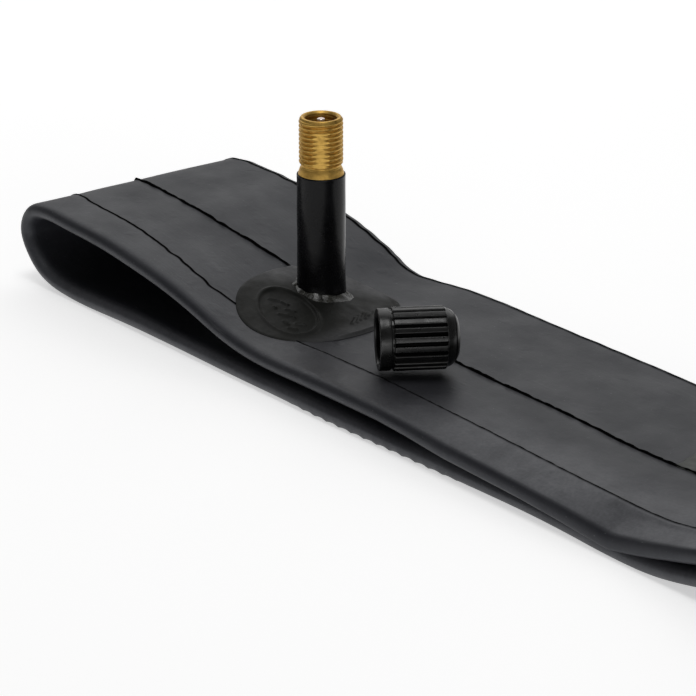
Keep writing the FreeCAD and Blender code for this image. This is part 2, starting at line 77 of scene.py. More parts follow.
# The middle line of the belt's layer, once round: x and height at the near edge, x and height at the far
# edge, and how far the layer is shifted across. The x values count from the valve's axis.
BELT_ROUTE = np.array([
    (0, 1.55, 0, 1.30, 0.0),
    (-30, 1.55, -30, 1.30, 0.0),
    (-45, 1.60, -46, 1.35, 0.0),
    (-51.3, 3.0, -52.5, 2.8, 0.0),
    (-55.3, 6.3, -57.0, 6.1, 0.0),
    (-56.8, 9.9, -58.6, 9.3, 0.0),
    (-55.2, 13.0, -57.0, 11.7, 0.0),
    (-51.0, 14.5, -53.2, 13.1, 0.0),
    (-44.0, 14.4, -46, 13.2, 0.0),
    (-34, 13.9, -36, 12.7, 0.0),
    (-24, 12.8, -24, 10.8, 0.0),
    (-14, 11.2, -15, 8.5, 0.0),
    (-4, 8.8, -8, 6.0, 0.0),
    (3, 6.9, -4, 4.4, 0.0),
    (11, 5.65, 1, 3.9, 0.0),
    (22, 5.45, 10, 4.5, 0.0),
    (40, 5.45, 35, 4.4, 0.0),
    (65, 5.35, 65, 4.0, 0.0),
    (90, 5.3, 90, 3.7, 0.0),
    (104, 5.8, 104, 4.8, 0.0),
    (116, 7.5, 116, 6.6, 0.0),
    (132, 9.6, 132, 9.2, 0.0),
    (148, 7.6, 148, 7.4, 0.0),
    (166, 5.6, 166, 5.2, 0.0),
    (188, 5.35, 188, 4.9, 0.0),
    (204, 6.2, 204, 6.0, 0.0),
    (220, 9.9, 220, 9.7, 0.0),
    (236, 13.8, 236, 13.6, 0.0),
    (250, 15.2, 250, 15.0, 0.0),
    (258.6, 13.2, 258.6, 13.0, 0.0),
    (261.6, 8.8, 261.6, 8.7, 0.0),
    (259.4, 4.0, 259.4, 3.9, 0.0),
    (253.0, 1.7, 253.0, 1.6, 0.0),
    (235, 1.55, 235, 1.30, 0.0),
    (190, 1.55, 190, 1.30, 0.0),
    (164, 1.65, 164, 1.50, 0.0),
    (148, 3.6, 148, 3.4, 0.0),
    (132, 5.2, 132, 5.0, 0.0),
    (118, 3.8, 118, 3.7, 0.0),
    (107, 1.75, 107, 1.6, 0.0),
    (90, 1.55, 90, 1.30, 0.3),
    (65, 1.55, 65, 1.30, 0.6),
    (35, 1.55, 35, 1.30, 0.0),
])
BELT_HALF_WIDTH = 25.2

# Rows of BELT_ROUTE: the top layer's detail lies between the first two, and the teeth start at the third.
DETAIL_ROWS = (2, 20, 40)

# The layer's thickness at the near and at the far edge, how much thicker it is between them, and how far
# its middle is raised there.
LAYER_NEAR = 3.1
LAYER_FAR = 2.6
LAYER_SWELL = 0.25
LAYER_CROWN = -0.2

# How wide the rounding is at the near and at the far edge, on each face.
OUTER_EDGE = (1.7, 1.8)
INNER_EDGE = (2.8, 1.4)

# Columns round the layer's section: how far they are from each edge, and how far apart they may be.
EDGE_STEPS = np.array([0, 0.03, 0.12, 0.28, 0.5, 0.8, 1.15, 1.6, 2.2, 3.0])
OUTER_SPACING = 1.6
INNER_SPACING = 3.2

# The top layer's near edge droops where the layers below it are set back. The route's pairs are x from the
# valve's axis and how far the edge hangs down there. The droop starts at DROOP_START from the belt's middle
# and is full DROOP_REACH further out.
DROOP_ROUTE = [
    (44, 0), (51, 0.4), (60, 1.2), (70, 1.6), (78, 1.9), (86, 2.4), (97, 3.5), (108, 1.7), (122, 0),
]
DROOP_START = 16.5
DROOP_REACH = 8.7
DROOP_POWER = 1.5

# Along this stretch the top layer's near edge is sharper and carries its full painted sheen: where that
# starts, where it is full, where it begins to fade and where it ends.
SHARP_EDGE_SPAN = (35.0, 74.0, 118.0, 140.0)
EDGE_SHARPENING = 0.7

# The moulding seams on the belt's outer face: points (x from the valve, y), height, half
# width, and how dark its painted shade is left and right of the valve.
SEAMS = {
    "middle": {
        "route": [
            (-60, 1.6), (-56, 0.6), (-52, -1.0), (-46, -1.2), (-33, -1.7), (-22, -1.2), (-14, -0.3),
            (-9, 0.5), (5, 0.6), (20, 0.0), (36, -1.2), (69, -2.1), (84, -2.8), (120, -2.7),
        ],
        "height": 0.5,
        "half_width": 0.19,
        "tone": (1.4, 1.2),
    },
    "near": {
        "route": [
            (-60, -14.0), (-54, -14.9), (-47, -16.2), (-41, -16.2), (-26, -17.0), (-10, -18.2), (0, -16.8),
            (16, -16.2), (33, -15.8), (48, -16.5), (76, -17.6), (92, -18.5), (105, -19.5), (120, -19.0),
        ],
        "height": 0.18,
        "half_width": 0.20,
        "tone": (1.0, 0.6),
    },
    "far": {
        "route": [(-60, 22.6), (-5, 22.9), (30, 24.0), (120, 24.2)],
        "height": 0.2,
        "half_width": 0.25,
        "tone": (0.9, 0.6),
    },
}

# Columns beside a seam, in mm from its middle, so that the mesh can hold its ridge.
SEAM_STEPS = (0.0, 0.12, 0.24, 0.38, 0.55, 0.8, 1.2)

# Small teeth along the lower layer's near edge.
TOOTH_PITCH = 3.1
TOOTH_HEIGHT = 0.28
TOOTH_SPAN = (18.0, 68.0)
TOOTH_FADES = (12, 14)

# The splice strip: where its near corner starts, counted from the valve's axis, how long it is along the
# belt, how wide across it, how far it slants over that width, and how thick it is.
SPLICE_LEFT = 89.3
SPLICE_LENGTH = 12.0
SPLICE_WIDTH = 24.0
SPLICE_SLANT = 6.0
SPLICE_THICKNESS = 0.3

# The pad under the valve, counted from the valve's axis.
PAD_CENTRE = (4.1, -4.4)
PAD_RADIUS = 14.7
PAD_RINGS = 92
PAD_SECTORS = 288
OVAL_CENTRE = (4.6, -11.3)
OVAL_HALF = (8.3, 4.9)
OVAL_TURN = math.radians(-20)
DASH_COUNT = 9
TICK_COUNT = 5

# The cement round the stem's foot: its inner radius.
BEAD_INNER = 4.15


# ---------------------------------------------------------------- meshes

def new_piece(name, points, faces, body, replaces, material):
    """A mesh object from points in mm, with its faces turned outward."""
    mesh = bpy.data.meshes.new(name)
    mesh.from_pydata((np.asarray(points) * MM).tolist(), [], [list(face) for face in faces])
    shell = bmesh.new()
    shell.from_mesh(mesh)
    bmesh.ops.recalc_face_normals(shell, faces=shell.faces)
    shell.to_mesh(mesh)
    shell.free()
    mesh.shade_smooth()
    piece = bpy.data.objects.new(name, mesh)
    bpy.context.scene.collection.objects.link(piece)
    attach(piece, body)
    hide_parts(*replaces)
    mesh.materials.append(material)
    return piece


def store_attribute(piece, name, values):
    attribute = piece.data.attributes.new(name, "FLOAT", "POINT")
    attribute.data.foreach_set("value", np.asarray(values, np.float32).ravel())


def grid_faces(rows, columns, close_rows=False, close_columns=False):
    """Quads over points numbered row by row."""
    row = np.arange(rows if close_rows else rows - 1)
    column = np.arange(columns if close_columns else columns - 1)
    a, b = (part.ravel() for part in np.meshgrid(row, column, indexing="ij"))
    a_next, b_next = (a + 1) % rows, (b + 1) % columns
    corners = (a * columns + b, a * columns + b_next, a_next * columns + b_next, a_next * columns + b)
    return np.stack(corners, 1)


def smooth_step(value, low, high):
    """0 below low, 1 above high, smooth between."""
    t = np.clip((np.asarray(value, float) - low) / (high - low), 0, 1)
    return t * t * (3 - 2 * t)


def bell(distance, width):
    """1 at no distance, falling to 0 on both sides."""
    return np.exp(-((distance / width) ** 2))


def ring_noise(angle, size, depth):
    """Smooth noise round a ring: a larger size gives more lumps, and depth picks where it is read."""
    depth = np.broadcast_to(depth, len(angle))
    places = [Vector((size * math.cos(a), size * math.sin(a), d)) for a, d in zip(angle, depth)]
    return np.array([noise.noise(place) for place in places])


def wander(values, scale, seed):
    """Smooth noise along a line of values, about -1 to 1."""
    return np.array([noise.noise(Vector((value / scale, seed, 0.5 * seed))) for value in values]) * 1.6


def closed_spline(knots, values, period, at):
    """A smooth closed curve through values at the knots, and its slope, read at places along it."""
    count = len(knots)
    step = np.diff(np.append(knots, knots[0] + period))
    rise = (np.roll(values, -1, 0) - values) / step[:, None]
    matrix = np.zeros((count, count))
    for i in range(count):
        matrix[i, i - 1] += step[i - 1]
        matrix[i, i] += 2 * (step[i - 1] + step[i])
        matrix[i, (i + 1) % count] += step[i]
    bend = np.linalg.solve(matrix, 6 * (rise - np.roll(rise, 1, 0)))
    at = np.mod(at - knots[0], period) + knots[0]
    i = np.searchsorted(knots, at, side="right") - 1
    j = (i + 1) % count
    h = step[i][:, None]
    u = (at - knots[i])[:, None]
    v = h - u
    start, end = values[i] / h - bend[i] * h / 6, values[j] / h - bend[j] * h / 6
    place = (bend[i] * v**3 + bend[j] * u**3) / (6 * h) + start * v + end * u
    slope = (bend[j] * u**2 - bend[i] * v**2) / (2 * h) - start + end
    return place, slope


# ---------------------------------------------------------------- the belt

BELT_MEAN = (BELT_ROUTE[:, 0:2] + BELT_ROUTE[:, 2:4]) / 2
BELT_STEPS = np.linalg.norm(np.roll(BELT_MEAN, -1, 0) - BELT_MEAN, axis=1)
BELT_KNOTS = np.concatenate([[0], np.cumsum(BELT_STEPS)[:-1]])
BELT_LENGTH = BELT_STEPS.sum()


def layer_thickness(y):
    far = (y / BELT_HALF_WIDTH + 1) / 2
    swell = LAYER_SWELL * (1 - (y / BELT_HALF_WIDTH) ** 2)
    return LAYER_NEAR * (1 - far) + LAYER_FAR * far + swell


def layer_middle(along, y):
    """The layer's middle, x and z, its unit normal, its shift across and how much it faces up."""
    place, slope = closed_spline(BELT_KNOTS, BELT_ROUTE, BELT_LENGTH, along)
    far = (y / BELT_HALF_WIDTH + 1) / 2
    x = place[:, 0] * (1 - far) + place[:, 2] * far
    z = place[:, 1] * (1 - far) + place[:, 3] * far
    run_x = slope[:, 0] * (1 - far) + slope[:, 2] * far
    run_z = slope[:, 1] * (1 - far) + slope[:, 3] * far
    length = np.hypot(run_x, run_z)
    normal_x, normal_z = -run_z / length, run_x / length
    upward = np.clip(2 * normal_z, 0, 1)
    z = z + LAYER_CROWN * (1 - (y / BELT_HALF_WIDTH) ** 2) * np.abs(normal_z)
    droop = np.interp(x, *np.transpose(DROOP_ROUTE))
    reach = np.clip((-y - DROOP_START) / DROOP_REACH, 0, 1) ** DROOP_POWER
    z = z - droop * upward * reach
    return x, z, normal_x, normal_z, place[:, 4], upward


def edge_round(distance, reach):
    """How full the layer is at a distance from its edge, as a quarter of an ellipse."""
    return np.sqrt(np.clip(1 - np.clip(1 - distance / reach, 0, 1) ** 2, 0, 1))


def seam_centre(seam):
    """The y that a seam's columns start from, before they follow its route."""
    return float(np.mean([y for _, y in seam["route"]]))


def sharp_edge_window(x):
    """1 along the stretch whose near edge is sharper and carries its full painted sheen, 0 elsewhere."""
    start, full, fading, end = SHARP_EDGE_SPAN
    return smooth_step(x, start, full) * (1 - smooth_step(x, fading, end))


def belt_painted_sheen(x, y, outer, upward):
    """How much paler the rubber is painted: a painted sheen along the near side and the lower layer's edge,
    and a painted highlight on the far rim.
    """
    # Painted sheen: the near side and the lower layer's near edge are painted paler where light falls on
    # them, and the far rim carries a painted highlight.
    near_side = smooth_step(-y, 6, 19) * (1 - smooth_step(-y, 23.9, 24.7)) * upward * outer
    lower_edge = 0.3 * smooth_step(-y, 23.0, 24.5) * (1 - upward)
    far_rim = 0.4 * smooth_step(y, 24.2, 24.8) * smooth_step(x, 30, 60) * upward
    return np.maximum(near_side * (0.25 + 0.75 * sharp_edge_window(x)), np.maximum(lower_edge, far_rim))


def section_columns(fine):
    """The points round the layer's section: their y, and 1 on the outer or -1 on the inner face."""
    width = 2 * BELT_HALF_WIDTH
    edges = np.concatenate([EDGE_STEPS, width - EDGE_STEPS])
    outer = set(edges.tolist())
    if fine:
        for centre in map(seam_centre, SEAMS.values()):
            for step in SEAM_STEPS:
                outer.add(centre - step + BELT_HALF_WIDTH)
                outer.add(centre + step + BELT_HALF_WIDTH)
    outer = sorted(value for value in outer if 0 <= value <= width)
    filled = []
    for low, high in zip(outer, outer[1:]):
        pieces = max(1, math.ceil((high - low) / OUTER_SPACING))
        filled += [low + (high - low) * k / pieces for k in range(pieces)]
    filled.append(outer[-1])
    inner = sorted(set(np.concatenate([edges, np.arange(5, 46, INNER_SPACING)]).tolist()))
    inner = inner[1:-1][::-1]
    y = np.array(filled + inner) - BELT_HALF_WIDTH
    face = np.array([1.0] * len(filled) + [-1.0] * len(inner))
    return y, face


def belt_rows(fine):
    """Places along the belt: close together where the surface has detail, wider elsewhere."""
    coarse, close = (1.7, 0.62) if fine else (2.5, 1.5)
    detail_start, detail_end, teeth_start = BELT_KNOTS[list(DETAIL_ROWS)]
    return np.concatenate([
        np.arange(0, detail_start, coarse),
        np.arange(detail_start, detail_end, close),
        np.arange(detail_end, teeth_start, coarse),
        np.arange(teeth_start, BELT_LENGTH, close),
    ])


def seam_line(name, x):
    route = np.array(SEAMS[name]["route"], float)
    return np.interp(x, route[:, 0], route[:, 1])


def tooth_relief(x, y, outer, upward):
    """Small teeth pressed into the lower layer's near edge."""
    lower = (1 - upward) * outer
    start, end = TOOTH_SPAN
    rise, fall = TOOTH_FADES
    window = smooth_step(x, start, start + rise) * (1 - smooth_step(x, end - fall, end))
    beat = 0.5 + 0.5 * np.cos(2 * math.pi * x / TOOTH_PITCH)
    edge = 1 - smooth_step(y + BELT_HALF_WIDTH, 0.9, 2.4)
    return TOOTH_HEIGHT * beat**3 * edge * window * lower


def add_seams(x, y, outer, lift, rows, columns):
    """The lift with the seams' ridges, how far each point is pulled sideways, and how dark its painted seam
    shade is.
    """
    moved, strength = np.zeros(len(x)), np.zeros(len(x))
    row_x = x.reshape(rows, columns).mean(1)
    for seed, (name, seam) in enumerate(SEAMS.items(), start=3):
        centre = seam_centre(seam)
        wiggle = np.interp(row_x, (-15, 15), (0.2, 0.09)) * wander(np.arange(rows), 4.0, seed)
        target = np.repeat(seam_line(name, row_x) + wiggle, columns)
        pull = bell(y - centre, 2.5) * (target - centre)
        moved = np.where(outer, moved + pull, moved)
        ragged = np.repeat(0.8 + 0.3 * wander(np.arange(rows), 2.2, seed + 10), columns)
        ridge = bell(y - centre, seam["half_width"])
        lift = lift + np.where(outer, seam["height"] * ragged * ridge, 0)
        # Painted shade: each seam is painted dark along its ridge, as the shadow beside a raised flash
        # line.
        dark = bell(y - centre, 1.5 * seam["half_width"]) * (0.7 + 0.6 * ragged)
        tone = np.interp(x, (-15, 20), seam["tone"])
        strength = np.maximum(strength, np.where(outer, dark * tone, 0))
    return lift, moved, strength


def belt_surface(fine):
    """Points of the belt's skin, row by row, its faces, and each point's painted seam shade and painted
    sheen strength.
    """
    columns_y, columns_face = section_columns(fine)
    along = belt_rows(fine)
    rows, columns = len(along), len(columns_y)
    y, face = np.tile(columns_y, rows), np.tile(columns_face, rows)
    outer = face > 0
    x, z, normal_x, normal_z, shift, upward = layer_middle(np.repeat(along, columns), y)
    worn = sharp_edge_window(x) * upward
    near = np.where(outer, OUTER_EDGE[0] - EDGE_SHARPENING * worn, INNER_EDGE[0])
    far = np.where(outer, OUTER_EDGE[1], INNER_EDGE[1])
    full = edge_round(y + BELT_HALF_WIDTH, near) * edge_round(BELT_HALF_WIDTH - y, far)
    lift = face * full * layer_thickness(y) / 2
    moved, seam_shade = np.zeros(len(x)), np.zeros(len(x))
    if fine:
        lift, moved, seam_shade = add_seams(x, y, outer, lift, rows, columns)
        lift = lift + tooth_relief(x, y, outer, upward)
        soft = np.array([noise.noise(Vector((a / 17, b / 11, c))) for a, b, c in zip(x, y, face * 3)])
        lift = lift + 0.16 * soft * full * face
    points = np.stack([
        VALVE_X + x + normal_x * lift,
        y + moved + shift,
        np.maximum(z + normal_z * lift, 0.0),
    ], 1)
    painted_sheen = belt_painted_sheen(x, y, outer, upward)
    return points, grid_faces(rows, columns, True, True), seam_shade, painted_sheen


class Ground:
    """The height of the belt's top surface, for what lies on it."""

    def __init__(self):
        points, faces, _, _ = belt_surface(fine=False)
        self.tree = BVHTree.FromPolygons(points.tolist(), faces.tolist())

    def height(self, x, y):
        """Heights at places counted from the valve's axis."""
        start, down = 60.0, Vector((0, 0, -1))
        heights = []
        for one_x, one_y in zip(x, y):
            hit = self.tree.ray_cast(Vector((VALVE_X + one_x, one_y, start)), down)[0]
            heights.append(hit.z if hit else 0.0)
        return np.array(heights)


def make_belt(material):
    points, faces, seam_shade, painted_sheen = belt_surface(fine=True)
    belt = new_piece("tube_skin", points, faces, "tube", ["tube_wall"], material)
    store_attribute(belt, "seam", seam_shade)
    store_attribute(belt, "painted_sheen", painted_sheen)
    return belt


# ---------------------------------------------------------------- the pad, the bead and the splice

def stroke(x, y, start, end, half_width):
    """1 on a short stroke between two points, falling to 0 at its sides."""
    start, end = np.array(start, float), np.array(end, float)
    run = end - start
    t = np.clip(((x - start[0]) * run[0] + (y - start[1]) * run[1]) / (run @ run), 0, 1)
    gap = np.hypot(x - start[0] - t * run[0], y - start[1] - t * run[1])
    return bell(gap, half_width)


def oval_relief(x, y):
    """A raised oval rim with abstract dashes inside, and its lower right side worn away."""
    dx, dy = x - OVAL_CENTRE[0], y - OVAL_CENTRE[1]
    u = dx * math.cos(OVAL_TURN) + dy * math.sin(OVAL_TURN)
    v = dy * math.cos(OVAL_TURN) - dx * math.sin(OVAL_TURN)
    radius = np.hypot(u / OVAL_HALF[0], v / OVAL_HALF[1])
    angle = np.arctan2(v / OVAL_HALF[1], u / OVAL_HALF[0])
    worn = 0.45 + 0.55 * smooth_step(np.sin(angle), -0.7, 0.3)
    rim_width = 0.42 / np.sqrt(OVAL_HALF[0] * OVAL_HALF[1])
    rim = bell(radius - 1, rim_width) * worn
    sunk = 1 - smooth_step(radius, 0.9, 1.0)
    dashes = np.zeros(len(x))
    for k in range(DASH_COUNT):
        row = 1 if k % 2 else -1
        place = (-0.62 + 0.155 * k) * OVAL_HALF[0]
        lean = 0.35 * math.sin(2.3 * k)
        start = (place, row * 0.9 - 0.75)
        end = (place + 0.9 + lean, row * 0.9 + 0.75 * math.cos(1.7 * k))
        dashes = np.maximum(dashes, stroke(u, v, start, end, 0.26))
    return 0.46 * rim - 0.16 * sunk + 0.3 * dashes * sunk


def tick_relief(x, y):
    """A short row of plain ticks near the pad's right side."""
    total = np.zeros(len(x))
    for k in range(TICK_COUNT):
        middle = np.array([12.9 - 0.25 * k, -3.3 + 1.15 * k])
        half = np.array([-0.9 - 0.2 * (k % 2), 1.15])
        total = np.maximum(total, stroke(x, y, middle - half, middle + half, 0.24))
    return 0.22 * total


def pad_outline(angle):
    """How far the pad's rim is from its centre at an angle, as a share of the pad's radius."""
    outline = 1 - 0.083 * np.cos(2 * angle) - 0.033 * np.sin(2 * angle) + 0.004 * np.sin(7 * angle)
    return outline - 0.035 * bell(angle - math.radians(239), 0.7)


def pad_thickness(r, angle, from_stem):
    """The pad's height over the belt: a low dome, a ridge on part of the rim, a rise round the stem."""
    dome = 0.1 + 0.12 * (1 - smooth_step(r, 0.97, 1.0)) + 1.35 * np.clip((1 - r) / 0.8, 0, 1) ** 0.9
    rim = 0.32 * bell(r - 0.945, 0.022) * smooth_step(np.cos(angle - math.radians(32)), 0.35, 0.8)
    return dome + rim + 0.35 * bell(from_stem, 6.5)


def pad_faces():
    """The faces of the pad's top, of its side and of its underside."""
    middle = PAD_RINGS * PAD_SECTORS
    base = middle + 1
    last = (PAD_RINGS - 1) * PAD_SECTORS
    faces = grid_faces(PAD_RINGS, PAD_SECTORS, False, True).tolist()
    for k in range(PAD_SECTORS):
        after = (k + 1) % PAD_SECTORS
        faces.append([k, after, middle])
        faces.append([last + k, last + after, base + after, base + k])
        faces.append([base + after, base + k, base + PAD_SECTORS])
    return faces


def make_pad(ground, material):
    """The pad under the valve, with its oval mark, its ticks and the belt's middle seam showing through."""
    radius = np.linspace(0, 1, PAD_RINGS + 1)[1:] ** 0.85
    angle = np.linspace(0, 2 * math.pi, PAD_SECTORS, endpoint=False)
    r, angle = (part.ravel() for part in np.meshgrid(radius, angle, indexing="ij"))
    outline = pad_outline(angle)
    x = PAD_CENTRE[0] + PAD_RADIUS * r * outline * np.cos(angle)
    y = PAD_CENTRE[1] + PAD_RADIUS * r * outline * np.sin(angle)
    x, y = np.append(x, PAD_CENTRE[0]), np.append(y, PAD_CENTRE[1])
    r, angle = np.append(r, 0.0), np.append(angle, 0.0)
    from_stem = np.hypot(x, y)
    thick = pad_thickness(r, angle, from_stem)
    relief = (oval_relief(x, y) + tick_relief(x, y)) * (1 - smooth_step(r, 0.86, 0.97))
    ridge = 0.22 * bell(y - seam_line("middle", x), 0.9) * smooth_step(from_stem, 5, 8)
    top = ground.height(x, y) + thick + relief + ridge
    points = np.stack([VALVE_X + x, y, top], 1)
    rim = points[(PAD_RINGS - 1) * PAD_SECTORS:PAD_RINGS * PAD_SECTORS]
    points = np.concatenate([points, rim - (0, 0, 0.7), [points[-1] - (0, 0, 2.2)]])
    pad = new_piece("valve_pad", points, pad_faces(), "tube", ["valve_patch"], material)
    # Painted sheen: the pad's far side and right part are painted paler, as if lit.
    painted_sheen = np.maximum(smooth_step(0.64 * y - 0.77 * x, -2, 5), 0.6 * smooth_step(x, 12, 17))
    painted_sheen = np.concatenate([painted_sheen, np.zeros(len(points) - len(painted_sheen))])
    store_attribute(pad, "painted_sheen", painted_sheen)
    return pad


def make_bead(ground, material):
    """Cement squeezed out round the stem's foot: a glossy, uneven skirt."""
    rings, sectors = 26, 180
    share = np.linspace(0, 1, rings)
    turn = np.linspace(0, 2 * math.pi, sectors, endpoint=False)
    t, angle = (part.ravel() for part in np.meshgrid(share, turn, indexing="ij"))
    lumps = ring_noise(angle, 2.2, 4.0)
    small = ring_noise(angle, 4, 9 + 2 * t)
    front = np.clip(np.cos(angle + math.radians(28)), 0, 1)
    reach = 0.9 + 0.5 * lumps + 2.6 * front
    height = 0.6 + 0.4 * lumps + 0.9 * front
    radius = BEAD_INNER + reach * t + 0.1 * small * np.sin(math.pi * t)
    x, y = radius * np.cos(angle), radius * np.sin(angle)
    skirt = height * (1 - t) ** 1.25 + 0.1 * bell(t - 0.86, 0.1) + 0.07 * small * np.sin(math.pi * t)
    pad_top = ground.height(x, y) + 0.95 + 0.35 * bell(radius, 6.5) - 0.05 * t
    top = pad_top + skirt - np.where(t > 0.999, 0.5, 0)
    points = np.stack([VALVE_X + x, y, top], 1)
    inner_low = points[:sectors] - (0, 0, 2.2)
    points = np.concatenate([points, inner_low])
    faces = grid_faces(rings, sectors, False, True).tolist()
    low = rings * sectors
    rim = (rings - 1) * sectors
    for k in range(sectors):
        after = (k + 1) % sectors
        faces.append([k, after, low + after, low + k])
        faces.append([rim + k, rim + after, low + after, low + k])
    return new_piece("cement_skirt", points, faces, "tube", ["cement_bead"], material)


def make_splice(ground, material):
    """The thin strip over the tube's own joint, lying on the belt."""
    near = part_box("splice_patch")[0].y / MM
    rows, columns = 60, 40
    share_v, share_u = np.linspace(0, 1, rows), np.linspace(0, 1, columns)
    v, u = (part.ravel() for part in np.meshgrid(share_v, share_u, indexing="ij"))
    ragged = 0.12 * wander(v * 40, 2.0, 21) * (1 - u)
    x = SPLICE_LEFT + ragged + SPLICE_LENGTH * u - SPLICE_SLANT * v
    y = near + SPLICE_WIDTH * v + 0.1 * wander(u * 30, 2.0, 23) * (1 - v)
    from_end = np.minimum(u * SPLICE_LENGTH, (1 - u) * SPLICE_LENGTH)
    from_side = np.minimum(v * SPLICE_WIDTH, (1 - v) * SPLICE_WIDTH)
    edge = np.minimum(from_end, from_side)
    top = ground.height(x, y) + SPLICE_THICKNESS * (0.35 + 0.65 * smooth_step(edge, 0, 0.5))
    points = np.stack([VALVE_X + x, y, top], 1)
    points = np.concatenate([points, points - (0, 0, 0.6)])
    count = rows * columns
    faces = grid_faces(rows, columns).tolist()
    faces += [[count + corner for corner in face][::-1] for face in grid_faces(rows, columns).tolist()]
    border = list(range(columns))
    border += [row * columns + columns - 1 for row in range(1, rows)]
    border += [(rows - 1) * columns + column for column in range(columns - 2, -1, -1)]
    border += [row * columns for row in range(rows - 2, 0, -1)]
    for one, other in zip(border, border[1:] + border[:1]):
        faces.append([one, other, count + other, count + one])
    return new_piece("splice_strip", points, faces, "tube", ["splice_patch"], material)


# ---------------------------------------------------------------- turned pieces

ROUNDING_POINTS = 5


def rounded_profile(corners):
    """The points of a closed profile of (r, z, rounding) corners, each rounded with a quadratic curve."""
    points = []
    count = len(corners)
    for i, (r, z, rounding) in enumerate(corners):
        here = np.array([r, z], float)
        before = np.array(corners[i - 1][:2], float)
        after = np.array(corners[(i + 1) % count][:2], float)
        if rounding <= 0:
            points.append(here)
            continue
        start = here + (before - here) / np.linalg.norm(before - here) * rounding
        end = here + (after - here) / np.linalg.norm(after - here) * rounding
        for t in np.linspace(0, 1, ROUNDING_POINTS):
            points.append((1 - t) ** 2 * start + 2 * t * (1 - t) * here + t**2 * end)
    return np.array(points)


def divided(profile, longest):
    """The same closed profile with its long stretches divided."""
    points = []
    for here, after in zip(profile, np.roll(profile, -1, 0)):
        pieces = max(1, math.ceil(np.linalg.norm(after - here) / longest))
        points += [here + (after - here) * k / pieces for k in range(pieces)]
    return np.array(points)


def spun(profile, segments):
    """The radius, height and angle of every point that a profile gives when it is turned."""
    angle = np.linspace(0, 2 * math.pi, segments, endpoint=False)
    r, z = np.repeat(profile[:, 0], segments), np.repeat(profile[:, 1], segments)
    return r, z, np.tile(angle, len(profile))


def turned(name, profile, segments, place, replaces, body, material, shape):
    """A ring-shaped piece turned from a closed profile; shape changes r by angle and height."""
    r, z, a = spun(profile, segments)
    r, z = shape(r, z, a)
    points = np.stack([r * np.cos(a), r * np.sin(a), z], 1)
    points = (np.array(place.to_3x3()) @ points.T).T + np.array(place.translation)
    faces = grid_faces(len(profile), segments, True, True)
    return new_piece(name, points, faces, body, replaces, material)


def stem_place():
    return Matrix.Translation((VALVE_X, 0, FOOT_Z)) @ Matrix.Rotation(STEM_TURN, 4, "Z")


def make_sleeve(material):
    """The stem's rubber cover, with a flared foot and a soft top rim."""
    profile = rounded_profile([
        (3.35, -2.0, 0),
        (4.35, -2.0, 0),
        (4.40, 0.0, 0),
        (4.32, 1.5, 0.6),
        (4.28, 4.0, 1.0),
        (4.27, SLEEVE_TOP - 0.6, 0.3),
        (4.3, SLEEVE_TOP, 0.16),
        (4.05, SLEEVE_TOP + 0.06, 0.1),
        (4.03, SLEEVE_TOP - 0.3, 0.05),
        (3.35, SLEEVE_TOP - 0.3, 0),
    ])
    profile = divided(profile, 0.6)

    def soften(r, z, angle):
        outer = r > 4.1
        waves = ring_noise(angle, 1.3, z / 6)
        flare = 0.15 * bell(z, 1.2) * np.clip(0.5 + waves, 0, 1.2)
        return np.where(outer, r + 0.05 * waves + flare, r), z

    return turned(
        "sleeve_cover", profile, 128, stem_place(), ["stem_sleeve"], "tube", material, soften
    )


# The stem's cap thread, and its two flats: how far they are from the axis and the height they end at.
THREAD_PITCH = 0.794
THREAD_DEPTH = 0.4
FLAT_DISTANCE = 3.52
FLAT_END = 29.74


def thread_profile(z, angle, pitch):
    """0 at the root to 1 at the crest of a one-start thread."""
    phase = np.mod(z / pitch - angle / (2 * math.pi), 1.0)
    return np.clip(1.35 - 2.7 * np.abs(phase - 0.5), 0, 1)


def make_insert(material):
    """The brass stem with its helical cap thread, two flats and bored mouth."""
    profile = rounded_profile([
        (2.0, INSERT_START, 0),
        (3.3, INSERT_START, 0),
        (3.3, SLEEVE_TOP, 0),
        (4.02, SLEEVE_TOP, 0),
        (4.02, SLEEVE_TOP + 0.12, 0.06),
        (3.75, 22.55, 0.4),
        (3.42, 23.1, 0.25),
        (3.42, 23.3, 0.1),
        (3.87, 23.6, 0.12),
        (3.87, 31.3, 0.15),
        (3.47, STEM_TOP, 0.12),
        (3.1, STEM_TOP, 0.1),
        (2.75, STEM_TOP - 0.35, 0.1),
        (2.75, 23.4, 0),
        (2.0, 21.2, 0),
    ])
    profile = divided(profile, 0.085)

    def cut_thread(r, z, angle):
        outside = (r > 3.2) & (z > 23.15)
        crest = thread_profile(z, angle, THREAD_PITCH)
        window = smooth_step(z, 23.5, 23.8) * (1 - smooth_step(z, 31.1, 31.5))
        cut = r - THREAD_DEPTH * (1 - crest) * window
        flat = FLAT_DISTANCE / np.maximum(np.abs(np.sin(angle)), 0.2)
        on_flat = outside & (z < FLAT_END)
        cut = np.where(on_flat, np.minimum(cut, flat), cut)
        inside = (r < 2.8) & (z > 29.5) & (z < 31.4)
        inner_cut = r + 0.12 * thread_profile(z, angle, 0.7)
        return np.where(outside, cut, np.where(inside, inner_cut, r)), z

    return turned(
        "brass_stem", profile, 180, stem_place(), ["stem_insert"], "tube", material, cut_thread
    )


def cap_place():
    """The cap's own frame: its mouth at the origin, its length along +Z."""
    mount = MOUNTS["cap_bore"]
    axis = Vector(mount["axis"])
    beyond = mount["dims"]["length_mm"] / 2 + 0.4
    mouth = Vector(mount["pos_m"]) / MM + axis * beyond
    turn = (-axis).to_track_quat("Z", "Y").to_matrix().to_4x4()
    return Matrix.Translation(mouth) @ turn


CAP_RIBS = 20
RIB_DEPTH = 0.55

# Points of the cap further out than this are on its outside.
CAP_WALL = 4.6


